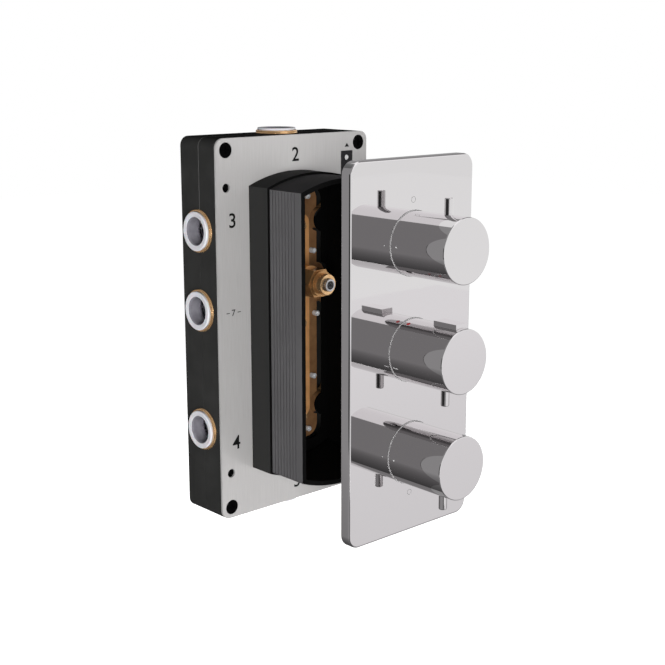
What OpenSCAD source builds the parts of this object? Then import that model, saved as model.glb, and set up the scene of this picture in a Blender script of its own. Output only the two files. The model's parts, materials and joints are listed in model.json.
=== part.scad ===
// Concealed thermostatic shower valve: a black rough-in box with a steel mounting plate, a plaster
// guard, a brass waterway with eight push-fit sockets, and a chrome trim set drawn off in front.
// X runs to the right, Y into the wall and Z up. The origin is the middle of the box's back face.
// A "depth" is measured from the mounting plate's face: positive towards the wall, negative in front.

/* [Box] */
// Width of the rough-in box
box_w = 174; // [172:1:178]
// Height of the rough-in box
box_h = 336; // [334:1:340]
// Depth of the box, from the plate's face to the wall
box_d = 50; // [49.5:0.5:52]
// Corner radius of the box and the plate
box_r = 8; // [7:0.5:9]
// Wall of the two housing halves
shell_t = 3; // [2.6:0.1:3.2]
// Thickness of the mounting plate
plate_t = 2; // [1.6:0.1:2.4]
// Distance of the screw columns from the box's sides
screw_inset = 10.5; // [10:0.1:11]
// Distance of the wall screws from the box's ends
wall_screw_inset = 41.6; // [40:0.1:43]
// Diameter of the wall screw holes
wall_hole_d = 7.8; // [7:0.2:8.4]
// Distance of the plate screws from the box's ends
plate_screw_inset = 10; // [9.5:0.1:10.5]
// Head diameter of the plate screws
plate_head_d = 13; // [12:0.5:13.5]

/* [Setting strip] */
// Width of the strip
strip_w = 14; // [12:0.5:14.5]
// Length of the strip
strip_l = 30; // [26:1:32]
// Middle of the strip, from the box's right side
strip_side_inset = 24.7; // [24.4:0.1:25.2]
// Top of the strip, from the box's top
strip_top_inset = 17.2; // [17:0.1:18]
// Diameter of the dots in the strip
dot_d = 5; // [4:0.5:6]
// Distance from dot to dot
dot_pitch = 9; // [8.5:0.1:9.4]

/* [Plaster guard] */
// Distance of the guard's straight sides from the box's sides
guard_side_inset = 35; // [34.5:0.1:35.5]
// Distance of the arches' ends from the box's top and bottom
guard_end_inset = 41.5; // [40.5:0.1:42]
// Rise of the arched top and bottom
guard_rise = 10.3; // [9:0.1:11]
// Reach of the smooth collar in front of the plate
collar_reach = 24.6; // [22:0.2:26]
// Reach of the whole guard in front of the plate
guard_reach = 66; // [64:0.5:68]
// Wall of the collar
collar_t = 4; // [3.8:0.1:4.4]
// Number of grooves on each side of the sleeve
groove_count = 8; // [6:1:8]
// Distance from groove to groove
groove_pitch = 4; // [3.6:0.1:4.1]

/* [Waterway] */
// Distance of the brass flange's sides from the guard's sides
flange_side_inset = 9.3; // [9:0.1:9.8]
// Distance of the brass flange's ends from the guard's ends
flange_end_inset = 17.8; // [16.8:0.1:18.8]
// Depth of the flange's face behind the plate's face
flange_depth = 20; // [19.6:0.1:20.4]
// Thickness of the flange
flange_t = 3; // [2.6:0.1:3]
// Width of the raised middle, as a share of the flange's
raised_share = 0.625; // [0.61:0.005:0.64]
// Distance of the raised middle's ends from the flange's ends
raised_end_inset = 23.5; // [22.5:0.5:25]
// Height of the raised middle above the flange
raised_h = 8; // [7.6:0.1:8.2]
// Thickness of the brass body behind the gasket
body_t = 20; // [19.6:0.1:20]
// Outer radius of the arms to the sockets
arm_r = 9.5; // [9.2:0.1:9.6]
// Bore radius of the arms
arm_bore_r = 7; // [6.8:0.1:7.2]

/* [Pipe sockets] */
// Height of the four outer sockets above the outer controls
outlet_offset = 0.5; // [0:0.1:1]
// Height of the two inlet sockets from the middle
inlet_z = 19; // [18.5:0.5:20]
// Diameter of the pipe that fits
pipe_d = 22; // [21.8:0.1:22]
// Outer diameter of the brass socket
socket_d = 35.4; // [35:0.1:35.8]
// How far the brass socket stands out of the box
socket_proud = 1.5; // [1.2:0.1:1.8]
// Outer diameter of the white collet
collet_d = 34; // [33.4:0.2:34.6]
// How far the collet stands out of the box
collet_proud = 5.2; // [5:0.1:5.6]
// Travel of the collet when it is pressed
collet_travel = 1.5; // [1.2:0.1:1.5]

/* [Cartridges] */
// Distance of the outer controls from the brass flange's ends
control_end_inset = 31; // [30:0.5:31.5]
// Radius of a cartridge
cart_r = 13.8; // [13.6:0.1:13.9]
// Radius of a cartridge spindle
spindle_r = 5; // [4.8:0.1:5.1]
// Reach of the spindles in front of the plate
spindle_reach = 9; // [8.5:0.1:9.4]
// Height of the isolating valve, as a share of the way to the upper control
isolator_share = 0.4545; // [0.45:0.005:0.465]
// Radius of the isolating valve's boss
isolator_boss_r = 14; // [13.6:0.1:14.4]
// Reach of the isolating valve's spindle in front of the plate
isolator_reach = 46.5; // [45.5:0.5:47.5]

/* [Trim] */
// How far the cover plate's sides stay inside the box's sides
cover_side_inset = 17; // [16:0.5:17.5]
// How far the cover plate's ends stay inside the box's ends
cover_end_inset = 11; // [9:0.5:12]
// Thickness of the cover plate
cover_t = 10; // [9.5:0.1:10.5]
// Corner radius of the cover plate
cover_r = 11; // [9:0.5:12]
// Distance of the cover's back from the mounting plate, trim taken off
cover_gap = 136; // [134:0.5:138]
// Diameter of the knobs
knob_d = 53; // [52:0.5:54]
// Length of the knobs
knob_l = 57; // [55:0.5:59]
// Diameter of the lever pins
pin_d = 7; // [6.6:0.1:7.4]
// How far the lever pins stand out of the knobs, as a share of the room between two knobs
pin_share = 0.386; // [0.35:0.002:0.42]
// Distance from a lever pin to the knob's front
pin_from_front = 20; // [18:0.5:22]
// Width of the safety button
button_w = 12.5; // [12:0.1:13]
// Length of the safety button
button_l = 24; // [23:0.5:25]
// How far the safety button stands above the knob
button_proud = 3.5; // [3.2:0.1:4]
// Travel of the safety button
button_travel = 2; // [1.6:0.1:2]
// Radius of the spindle extensions
extension_r = 8; // [7.6:0.1:8.2]

/* [Hidden] */
$fn = 96;

// Clearances
cut = 1;          // overrun of every cut
seat = 0.2;       // between fixed pieces, one inside the other
slack = 0.3;      // round anything that is dropped into a wider place
run = 0.05;       // radial, round a turning or sliding shaft
free = 0.2;       // between faces that slide past each other

// Housing
seam_depth = box_d / 2;
port_depth = seam_depth;
seam_groove = 0.6;
screw_x = box_w / 2 - screw_inset;
wall_screw_dz = box_h - 2 * wall_screw_inset;
plate_screw_dz = box_h - 2 * plate_screw_inset;
strip_x = box_w / 2 - strip_side_inset;
strip_top = box_h / 2 - strip_top_inset;
wall_hole_r = wall_hole_d / 2;
wall_pillar_t = 1.5;
wall_pillar_r = wall_hole_r + wall_pillar_t;
plate_shank_r = 2;
plate_shank_l = 34;
plate_pillar_t = 4;
plate_pillar_r = plate_shank_r + plate_pillar_t;
plate_head_sink = 0.1;
recess_l = 7;
recess_w = 1.3;
recess_depth = 1.2;
hole_gap = 0.15;

// Guard outline: straight sides, a round arch at the top and the bottom
guard_half_w = box_w / 2 - guard_side_inset;
guard_w = 2 * guard_half_w;
guard_side_h = box_h - 2 * guard_end_inset;
guard_half_h = guard_side_h / 2 + guard_rise;
arch_r = (guard_half_w * guard_half_w + guard_rise * guard_rise) / (2 * guard_rise);
sleeve_inset = 1.8;
sleeve_gap = 0.9;
tail_reach = 12;
ledge_w = 2;
ledge_inset = collar_t + ledge_w;
window_inset = 2;
tongue_inset = window_inset + seat;
tongue_l = 2;
tongue_end = plate_t + shell_t + tongue_l;
well_t = 2;
well_depth = 13;
well_floor_t = 1.6;
well_gap = 0.6;
groove_w = 1.8;
groove_depth = 0.9;
groove_land = 3.2;
groove_start = collar_reach + groove_land;

// Brass waterway
flange_half_w = guard_half_w - flange_side_inset;
flange_half_h = guard_half_h - flange_end_inset;
raised_half_w = raised_share * flange_half_w;
raised_half_h = flange_half_h - raised_end_inset;
control_pitch = flange_half_h - control_end_inset;
outlet_z = control_pitch + outlet_offset;
isolator_z = isolator_share * control_pitch;
raised_depth = flange_depth - raised_h;
gasket_depth = flange_depth + flange_t;
gasket_t = 1;
body_depth = gasket_depth + gasket_t;
body_end = body_depth + body_t;
flange_r = 12;
raised_r = 8;
ear_gap = 0.3;
ear_r = 9.4;
ear_x = flange_half_w - ear_gap;
ear_z = inlet_z + arm_r + ear_r + ear_gap;
notch_offset = 2.8;
notch_x = flange_half_w + notch_offset;
notch_r = 11.5;
end_boss_r = 18.5;
channel_r = 4.5;
channel_offset = 4.8;
channel_depth = port_depth + channel_offset;
mixed_offset = 10;
mixed_depth = body_depth + mixed_offset;
mixed_r = 5;
drop_x = 9;
drop_r = 3.5;
arm_root = 5;
arm_start = flange_half_w - arm_root;
bore_stop_gap = 1.3;
arm_bore_stop = flange_half_w + bore_stop_gap;
foot_r = 8;
foot_x_share = 0.6;
foot_z_share = 0.84;
flange_screw_x_share = [0.6815, 0.8407, 0.93, 0.8407, 0.6815];
flange_screw_z_share = [0.9286, 0.5017, 0, -0.5017, -0.9286];
flange_head_r = 2.6;
flange_head_h = 4.6;
flange_shank_r = 1.7;
flange_shank_l = 16;
hex_key_d = 2.8;
hex_key_depth = 2;

// Push-fit socket, measured outwards from the box's side
pipe_gap = 0.1;
pipe_r = pipe_d / 2 + pipe_gap;
socket_r = socket_d / 2;
socket_back = -32;
socket_shoulder = -24;
socket_neck_r = 12.5;
arm_end = socket_shoulder - free;
thread_gap = 0.1;
stop_end = -22;
stop_r = 8;
seal_groove = [-14.2, -11.4];
seal_groove_r = 13.6;
land_r = 12;
collet_sleeve_r = 12.7;
collet_sleeve_end = -5.5;
grab_groove = [-10.5, collet_sleeve_end - collet_travel - free];
grab_groove_r = 14.5;
guide_r = 12.9;
hub_bore_r = 16.1;
collet_hub_r = 15.8;
collet_hub_end = -1.2;
hub_bore_end = collet_hub_end - collet_travel - slack;
socket_edge = 0.8;
collet_flange_t = collet_proud - socket_proud - collet_travel - free;
collet_gap = 0.15;
collet_r = pipe_r + collet_gap;
collet_mouth = 1.4;
grab_tooth_count = 8;
grab_slot_w = 1.2;
seal_wire_r = 1.15;

// Inlet strainers and check valves, measured outwards from the box's side
strainer_t = 1;
strainer_hole_r = 1.6;
strainer_ring_r = 4.6;
strainer_hole_count = 6;
cage_ends = [-41, -26];
cage_bore_r = 5.2;
seat_t = 2;
seat_hole_r = 3.6;
spider_t = 2;
poppet_r = 4.6;
poppet_t = 1.5;
poppet_stem_r = 1.2;
check_travel = 2.5;
stem_end = arm_bore_stop - box_w / 2 + check_travel + free;
check_turns = 5;
check_spring_r = 2.6;
check_wire_r = 0.35;

// Cartridges
cart_bore_r = cart_r + seat;
cart_neck_r = 10;
cart_neck_front = 5;
flow_end = 40;
thermo_floor = 2;
thermo_end = body_end - thermo_floor;
nut_front = 7.2;
nut_af = 26;
cavity_r = 11.2;
flow_cavity = 28;
thermo_cavity = 16;
disc_r = 11;
disc_t = 3.4;
disc_hole_r = 3;
disc_hole_x = 6;
drive_r = 9;
drive_t = 4.2;
tang_w = 4;
tang_l = 12;
tang_h = 1.6;
tip_l = 8;
tip_flat = 7;
pusher_r = 7;
pusher_t = 3;
wax_r = 5;
wax_depth = 22.5;
wax_l = 11.5;
wax_pin_r = 1.5;
spool_r = 10.9;
spool_bore_r = 8;
spool_depth = 24;
spool_l = 9.6;
spool_web_depth = 27;
spool_web_t = 2;
thermo_window_r = 4;
thermo_mixed_r = 2;
return_spring_r = 8.4;
return_wire_r = 0.7;
return_turns = 4;
thermo_cap_t = 2;

// Isolating valve in the boss of the cover
isolator_bore_r = 8;
boss_front = -12;
bonnet_base_front = -20;
bonnet_hex_af = 24;
bonnet_ring_t = 3;
bonnet_ring_r = 11.45;
bonnet_stem_end = 8;
gland_r = 9.3;
gland_t = 7.3;
spindle_out = 3.2;
gland_front = spindle_out - isolator_reach;
bonnet_ring_front = gland_front + gland_t;
bonnet_hex_front = bonnet_ring_front + bonnet_ring_t;
isolator_spindle_r = 5.6;
isolator_stem_r = 4;
isolator_jumper_r = 7.5;
isolator_jumper_depth = 20;
isolator_jumper_t = 3;
spline_count = 18;
spline_depth = 0.5;
spline_l = 6;
spindle_hole_r = 1.7;
spindle_hole_depth = 5;

// Trim
cover_w = box_w - 2 * cover_side_inset;
cover_h = box_h - 2 * cover_end_inset;
knob_gap = 0.4;
cover_front = -cover_gap - cover_t;
knob_base = cover_front - knob_gap;
knob_front = knob_base - knob_l;
knob_r = knob_d / 2;
knob_wall = 3;
knob_cap_t = 4;
hub_r = 10.5;
cover_wall = 2.5;
seal_w = 4;
seal_t = cover_t - cover_wall - seat;
bush_r = 12;
bush_flange_r = 15;
bush_flange_t = 2;
bush_reach = 11;
extension_tail = -71;
extension_end_r = 6;
extension_end_l = 34;
tail_socket_l = 10;
tail_gap = 0.3;
pin_depth = knob_front + pin_from_front;
pin_proud = pin_share * (control_pitch - knob_d);
pin_root = extension_end_r + slack;
pin_dome = 0.6;
button_reach = 28;
button_back = knob_front + button_reach;
button_top = knob_r + button_proud;
button_spring_pressed = 7.1;
button_floor = hub_r + button_spring_pressed + button_travel;
button_foot = 1.6;
button_foot_lip = 1.4;
button_spring_r = 3;
button_wire_r = 0.45;
button_turns = 5;
coil_steps = 14;
coil_sides = 6;

// Places of the eight sockets: rotation about the Y axis, then the middle of the box's side there
port_turn = [-90, 0, 90, 90, 180, -90, -90, 90];
port_place = [
    [-box_w / 2, outlet_z], [0, box_h / 2], [box_w / 2, outlet_z], [box_w / 2, -outlet_z],
    [0, -box_h / 2], [-box_w / 2, -outlet_z], [-box_w / 2, inlet_z], [box_w / 2, inlet_z]];

module at_port(k) {
    translate([port_place[k][0], port_depth - box_d, port_place[k][1]])
        rotate([0, port_turn[k], 0]) children();
}

// Round bar along Y between two depths
module rod_y(r, d0, d1, x = 0, z = 0) {
    translate([x, d0 - box_d, z]) rotate([-90, 0, 0]) cylinder(r = r, h = d1 - d0);
}

// Hexagon bar along Y with two corners to the left and right
module hex_y(af, d0, d1, z = 0) {
    translate([0, d0 - box_d, z]) rotate([-90, 0, 0])
        cylinder(r = af / sqrt(3), h = d1 - d0, $fn = 6);
}

// Flat outline in the X-Z plane, given thickness between two depths
module flat(d0, d1) {
    translate([0, d1 - box_d, 0]) rotate([90, 0, 0]) linear_extrude(d1 - d0) children();
}

// Box between two depths, in the middle of x and z
module block(w, h, d0, d1, x = 0, z = 0) {
    translate([x - w / 2, d0 - box_d, z - h / 2]) cube([w, d1 - d0, h]);
}

module round_rect(w, h, r) {
    square([w - 2 * r, h], center = true);
    square([w, h - 2 * r], center = true);
    for (sx = [-1, 1], sz = [-1, 1])
        translate([sx * (w / 2 - r), sz * (h / 2 - r)]) circle(r);
}

// The guard's outline, drawn in by an inset
module arch_outline(inset) {
    for (s = [0, 1]) mirror([0, s]) intersection() {
        translate([-guard_half_w + inset, 0]) square([guard_w - 2 * inset, guard_half_h]);
        translate([0, guard_half_h - arch_r]) circle(arch_r - inset);
    }
}

// The brass flange's outline, grown by a gap
module flange_outline(grow) {
    difference() {
        union() {
            round_rect(2 * (flange_half_w + grow), 2 * (flange_half_h + grow), flange_r + grow);
            for (sx = [-1, 1]) translate([sx * ear_x, ear_z]) circle(ear_r + grow);
        }
        for (sx = [-1, 1], sz = [-1, 1])
            translate([sx * notch_x, sz * control_pitch]) circle(notch_r - grow);
    }
}

module each_flange_screw() {
    for (sx = [-1, 1], i = [0 : len(flange_screw_x_share) - 1])
        translate([sx * flange_screw_x_share[i] * flange_half_w, 0,
            flange_screw_z_share[i] * flange_half_h]) children();
}

module each_corner(dz) {
    for (sx = [-1, 1], sz = [-1, 1]) translate([sx * screw_x, 0, sz * dz / 2]) children();
}

// Coil spring round +Z, one unbroken wire with both ends cut square
module coil(radius, wire_r, length, turns) {
    ring_count = turns * coil_steps;
    points = [for (i = [0 : ring_count]) let (a = 360 * turns * i / ring_count,
            z = wire_r + (length - 2 * wire_r) * i / ring_count)
        for (j = [0 : coil_sides - 1]) let (b = 360 * j / coil_sides, q = radius + wire_r * cos(b))
            [q * cos(a), q * sin(a), z + wire_r * sin(b)]];
    walls = [for (i = [0 : ring_count - 1], j = [0 : coil_sides - 1]) let (k = (j + 1) % coil_sides)
        [i * coil_sides + j, i * coil_sides + k, (i + 1) * coil_sides + k, (i + 1) * coil_sides + j]];
    first = [[for (j = [coil_sides - 1 : -1 : 0]) j]];
    last = [[for (j = [0 : coil_sides - 1]) ring_count * coil_sides + j]];
    polyhedron(points, concat(walls, first, last));
}

module rear_housing() {
    color("#2a2a29") difference() {
        union() {
            difference() {
                flat(seam_depth, box_d) round_rect(box_w, box_h, box_r);
                flat(seam_depth - cut, box_d - shell_t)
                    round_rect(box_w - 2 * shell_t, box_h - 2 * shell_t, box_r - shell_t);
            }
            each_corner(wall_screw_dz) rod_y(wall_pillar_r, seam_depth, box_d - shell_t / 2);
            each_corner(plate_screw_dz) rod_y(plate_pillar_r, seam_depth, box_d - shell_t / 2);
        }
        each_corner(wall_screw_dz) rod_y(wall_hole_r, seam_depth - cut, box_d + cut);
        each_corner(plate_screw_dz)
            rod_y(plate_shank_r + run, seam_depth - cut, plate_t + plate_shank_l + slack);
        for (k = [0 : 7]) at_port(k)
            translate([0, 0, -2 * shell_t]) cylinder(r = socket_r + seat, h = 2 * shell_t + cut);
    }
}

module front_housing() {
    front = plate_t + shell_t;
    color("#2a2a29") difference() {
        union() {
            difference() {
                union() {
                    flat(plate_t, seam_depth - seam_groove) round_rect(box_w, box_h, box_r);
                    flat(plate_t, seam_depth) round_rect(box_w - 2 * seam_groove,
                        box_h - 2 * seam_groove, box_r - seam_groove);
                }
                flat(front, seam_depth + cut)
                    round_rect(box_w - 2 * shell_t, box_h - 2 * shell_t, box_r - shell_t);
            }
            flat(front - shell_t / 2, well_depth + well_floor_t) arch_outline(window_inset - well_t);
            each_corner(wall_screw_dz) rod_y(wall_pillar_r, front - shell_t / 2, seam_depth);
            each_corner(plate_screw_dz) rod_y(plate_pillar_r, front - shell_t / 2, seam_depth);
        }
        flat(plate_t - cut, well_depth) arch_outline(window_inset);
        flat(well_depth - cut, well_depth + well_floor_t + cut) flange_outline(well_gap);
        each_corner(wall_screw_dz) rod_y(wall_hole_r, plate_t - cut, seam_depth + cut);
        each_corner(plate_screw_dz) rod_y(plate_shank_r + run, plate_t - cut, seam_depth + cut);
        for (k = [0 : 7]) at_port(k) {
            translate([0, 0, -2 * shell_t]) cylinder(r = socket_r + seat, h = 2 * shell_t + cut);
            // Room for the sockets' necks in the well's wall
            translate([0, 0, socket_back - slack])
                cylinder(r = socket_neck_r + slack, h = socket_shoulder - socket_back);
        }
    }
}

module mounting_plate() {
    color("#b9b8b7") difference() {
        flat(0, plate_t) round_rect(box_w, box_h, box_r);
        flat(-cut, plate_t + cut) arch_outline(-seat);
        each_corner(wall_screw_dz) rod_y(wall_hole_r, -cut, plate_t + cut);
        each_corner(plate_screw_dz) rod_y(plate_head_d / 2 + hole_gap, -cut, plate_t + cut);
        block(strip_w + 2 * hole_gap, strip_l + 2 * hole_gap, -cut, plate_t + cut,
            strip_x, strip_top - strip_l / 2);
    }
}

module plate_screws() {
    color("#141414") each_corner(plate_screw_dz) {
        difference() {
            rod_y(plate_head_d / 2, plate_head_sink, plate_t);
            block(recess_l, recess_w, 0, recess_depth);
            block(recess_w, recess_l, 0, recess_depth);
        }
        rod_y(plate_shank_r, plate_t, plate_t + plate_shank_l);
    }
}

module setting_strip() {
    color("#3d3c3f") difference() {
        block(strip_w, strip_l, 0, plate_t, strip_x, strip_top - strip_l / 2);
        for (i = [0 : 2])
            rod_y(dot_d / 2, -cut, seam_groove, strip_x, strip_top - strip_l / 2 + (1 - i) * dot_pitch);
    }
}

module guard_collar() {
    color("#2b2b2b") difference() {
        union() {
            flat(-collar_reach, plate_t) arch_outline(0);
            flat(plate_t - cut, tongue_end) arch_outline(tongue_inset);
        }
        flat(-collar_reach - cut, -tail_reach) arch_outline(collar_t);
        flat(-tail_reach - cut, tongue_end + cut) arch_outline(ledge_inset);
    }
}

module guard_sleeve() {
    shoulder = collar_reach + sleeve_gap;
    color("#3a3a3b") difference() {
        union() {
            flat(-guard_reach, -shoulder) arch_outline(sleeve_inset);
            flat(-shoulder - cut, -tail_reach) arch_outline(collar_t + seat);
        }
        flat(-guard_reach - cut, -tail_reach + cut) arch_outline(ledge_inset);
        for (sx = [-1, 1], i = [0 : groove_count - 1])
            block(2 * groove_depth, guard_side_h - 2 * sleeve_inset,
                -groove_start - i * groove_pitch - groove_w, -groove_start - i * groove_pitch,
                sx * (guard_half_w - sleeve_inset), 0);
    }
}

module manifold_cover() {
    color("#8a6236") difference() {
        union() {
            flat(flange_depth, gasket_depth) flange_outline(0);
            flat(raised_depth, flange_depth + flange_t / 2)
                round_rect(2 * raised_half_w, 2 * raised_half_h, raised_r);
            for (sz = [-1, 1]) rod_y(end_boss_r, raised_depth, gasket_depth, 0, sz * control_pitch);
            rod_y(isolator_boss_r, boss_front, gasket_depth, 0, isolator_z);
        }
        for (sz = [-1, 0, 1])
            rod_y(cart_bore_r, raised_depth - cut, gasket_depth + cut, 0, sz * control_pitch);
        rod_y(isolator_bore_r, boss_front - cut, gasket_depth + cut, 0, isolator_z);
        each_flange_screw() rod_y(flange_shank_r + seat, flange_depth - cut, gasket_depth + cut);
    }
}

module manifold_gasket() {
    color("#1c1c1c") difference() {
        flat(gasket_depth, body_depth) flange_outline(-seat);
        for (sz = [-1, 0, 1])
            rod_y(cart_bore_r + seat, gasket_depth - cut, body_depth + cut, 0, sz * control_pitch);
        rod_y(isolator_bore_r + seat, gasket_depth - cut, body_depth + cut, 0, isolator_z);
        each_flange_screw() rod_y(flange_shank_r + seat, gasket_depth - cut, body_depth + cut);
    }
}

module manifold_screws() {
    color("#c9c9cb") each_flange_screw() {
        difference() {
            rod_y(flange_head_r, flange_depth - flange_head_h, flange_depth);
            hex_y(hex_key_d, flange_depth - flange_head_h - cut,
                flange_depth - flange_head_h + hex_key_depth);
        }
        rod_y(flange_shank_r, flange_depth, flange_depth + flange_shank_l);
    }
}

// Arm from the brass body to a socket, solid; its far end lies in the socket's thread
module arm(k) {
    reach = (port_turn[k] % 180 == 0 ? box_h / 2 - flange_half_h : box_w / 2 - arm_start) + arm_end;
    at_port(k) translate([0, 0, arm_end - reach]) cylinder(r = arm_r, h = reach);
}

module manifold_body() {
    color("#9a6f3f") difference() {
        union() {
            flat(body_depth, body_end) flange_outline(0);
            difference() {
                for (k = [0 : 7]) arm(k);
                flat(-cut, body_depth) flange_outline(free);
            }
            for (sx = [-1, 1], sz = [-1, 1])
                rod_y(foot_r, body_end - cut, box_d - shell_t, sx * foot_x_share * flange_half_w,
                    sz * foot_z_share * flange_half_h);
        }
        for (k = [0 : 7]) {
            bore_stop = port_turn[k] % 180 == 0 ? flange_half_h - box_h / 2 + cut
                : arm_bore_stop - box_w / 2;
            at_port(k) translate([0, 0, bore_stop]) cylinder(r = arm_bore_r, h = -bore_stop);
        }
        // Outlet channels across and up or down from the outer cartridges
        for (sz = [-1, 1]) {
            translate([-arm_bore_stop - 2 * cut, channel_depth - box_d, sz * outlet_z])
                rotate([0, 90, 0]) cylinder(r = channel_r, h = 2 * (arm_bore_stop + 2 * cut));
            mirror([0, 0, sz < 0 ? 1 : 0])
                translate([0, channel_depth - box_d, control_pitch])
                    cylinder(r = channel_r, h = flange_half_h - control_pitch + 3 * cut);
        }
        // Inlet channels to the thermostatic cartridge
        for (sx = [-1, 1]) {
            translate([sx * (drop_x + arm_bore_stop + 2 * cut) / 2, channel_depth - box_d, inlet_z])
                rotate([0, 90, 0])
                    cylinder(r = channel_r, h = arm_bore_stop + 2 * cut - drop_x, center = true);
            translate([sx * drop_x, channel_depth - box_d, 0])
                cylinder(r = drop_r, h = inlet_z);
        }
        // Mixed water up and down to the outer cartridges
        translate([0, mixed_depth - box_d, -control_pitch])
            cylinder(r = mixed_r, h = 2 * control_pitch);
        rod_y(cart_bore_r, body_depth - cut, thermo_end + thread_gap);
        for (sz = [-1, 1])
            rod_y(cart_bore_r, body_depth - cut, flow_end + thread_gap, 0, sz * control_pitch);
        rod_y(isolator_bore_r, body_depth - cut, mixed_depth, 0, isolator_z);
        each_flange_screw()
            rod_y(flange_shank_r + run, body_depth - cut, flange_depth + flange_shank_l + slack);
    }
}

module port_socket() {
    difference() {
        union() {
            translate([0, 0, socket_back])
                cylinder(r = socket_neck_r, h = socket_shoulder - socket_back + cut);
            translate([0, 0, socket_shoulder])
                cylinder(r = socket_r, h = socket_proud - socket_shoulder - socket_edge);
            translate([0, 0, socket_proud - socket_edge])
                cylinder(r1 = socket_r, r2 = socket_r - socket_edge, h = socket_edge);
        }
        translate([0, 0, socket_back - cut])
            cylinder(r = arm_r + thread_gap, h = socket_shoulder - socket_back + cut);
        translate([0, 0, socket_shoulder - cut])
            cylinder(r = stop_r, h = stop_end - socket_shoulder + 2 * cut);
        translate([0, 0, stop_end]) cylinder(r = pipe_r, h = seal_groove[1] - stop_end);
        translate([0, 0, seal_groove[0]])
            cylinder(r = seal_groove_r, h = seal_groove[1] - seal_groove[0]);
        translate([0, 0, seal_groove[0]]) cylinder(r = land_r, h = grab_groove[1] - seal_groove[0]);
        translate([0, 0, grab_groove[0]])
            cylinder(r = grab_groove_r, h = grab_groove[1] - grab_groove[0]);
        translate([0, 0, grab_groove[0]]) cylinder(r = guide_r, h = hub_bore_end - grab_groove[0] + cut);
        translate([0, 0, hub_bore_end]) cylinder(r = hub_bore_r, h = socket_proud - hub_bore_end + cut);
    }
}

module port_sockets() {
    color("#b98a50") for (k = [0 : 7]) at_port(k) port_socket();
}

module collet(k) {
    color("#e8e8ea") at_port(k) difference() {
        union() {
            translate([0, 0, collet_proud - collet_flange_t])
                cylinder(r = collet_d / 2, h = collet_flange_t);
            translate([0, 0, collet_hub_end])
                cylinder(r = collet_hub_r, h = collet_proud - collet_flange_t / 2 - collet_hub_end);
            translate([0, 0, collet_sleeve_end])
                cylinder(r = collet_sleeve_r, h = collet_proud - collet_flange_t / 2 - collet_sleeve_end);
        }
        translate([0, 0, collet_sleeve_end - cut])
            cylinder(r = collet_r, h = collet_proud - collet_sleeve_end + 2 * cut);
        translate([0, 0, collet_proud - collet_mouth])
            cylinder(r1 = collet_r, r2 = collet_r + collet_mouth, h = collet_mouth);
    }
}

module grab_rings() {
    ring_t = (grab_groove[1] - grab_groove[0]) / 3;
    color("#d0d0d2") for (k = [0 : 7]) at_port(k) translate([0, 0, grab_groove[0]]) difference() {
        cylinder(r = grab_groove_r - run, h = ring_t);
        translate([0, 0, -cut]) cylinder(r = collet_r + run, h = ring_t + 2 * cut);
        for (i = [0 : grab_tooth_count - 1]) rotate(360 * i / grab_tooth_count)
            translate([0, -grab_slot_w / 2, -cut]) cube([land_r + cut, grab_slot_w, ring_t + 2 * cut]);
    }
}

module pipe_seals() {
    color("#161616") for (k = [0 : 7]) at_port(k)
        translate([0, 0, (seal_groove[0] + seal_groove[1]) / 2]) rotate_extrude()
            translate([seal_groove_r - seal_wire_r - run, 0]) circle(seal_wire_r);
}

module inlet_strainers() {
    color("#c4c4c6") for (k = [6 : 7]) at_port(k)
        translate([0, 0, socket_shoulder + free]) difference() {
            cylinder(r = stop_r - run, h = strainer_t);
            translate([0, 0, -cut]) cylinder(r = strainer_hole_r, h = strainer_t + 2 * cut);
            for (i = [0 : strainer_hole_count - 1]) rotate(360 * i / strainer_hole_count)
                translate([strainer_ring_r, 0, -cut])
                    cylinder(r = strainer_hole_r, h = strainer_t + 2 * cut);
        }
}

module check_cages() {
    color("#dcdcd8") for (k = [6 : 7]) at_port(k) difference() {
        translate([0, 0, cage_ends[0]]) cylinder(r = arm_bore_r - run, h = cage_ends[1] - cage_ends[0]);
        translate([0, 0, cage_ends[0] + spider_t])
            cylinder(r = cage_bore_r, h = cage_ends[1] - cage_ends[0] - spider_t - seat_t);
        translate([0, 0, cage_ends[1] - seat_t - cut]) cylinder(r = seat_hole_r, h = seat_t + 2 * cut);
        translate([0, 0, cage_ends[0] - cut]) cylinder(r = poppet_stem_r + run, h = spider_t + 2 * cut);
        for (i = [0 : 2]) rotate(120 * i)
            translate([(cage_bore_r + poppet_stem_r) / 2, 0, cage_ends[0] - cut])
                cylinder(r = poppet_stem_r, h = spider_t + 2 * cut);
    }
}

module check_poppet(k) {
    front = cage_ends[1] - seat_t - free;
    color("#f0f0ee") at_port(k) {
        translate([0, 0, front - poppet_t]) cylinder(r = poppet_r, h = poppet_t);
        translate([0, 0, stem_end]) cylinder(r = poppet_stem_r, h = front - poppet_t - stem_end);
    }
}

module check_spring(k) {
    low = cage_ends[0] + spider_t;
    high = cage_ends[1] - seat_t - free - poppet_t;
    color("#bdbdbf") at_port(k) translate([0, 0, low])
        coil(check_spring_r, check_wire_r, high - low, check_turns);
}

// Two flats on a spindle's tip, or the slot for it with a gap
module tip(r, flat_w, d0, d1, z) {
    intersection() {
        rod_y(r, d0, d1, 0, z);
        block(2 * r, flat_w, d0, d1, 0, z);
    }
}

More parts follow.
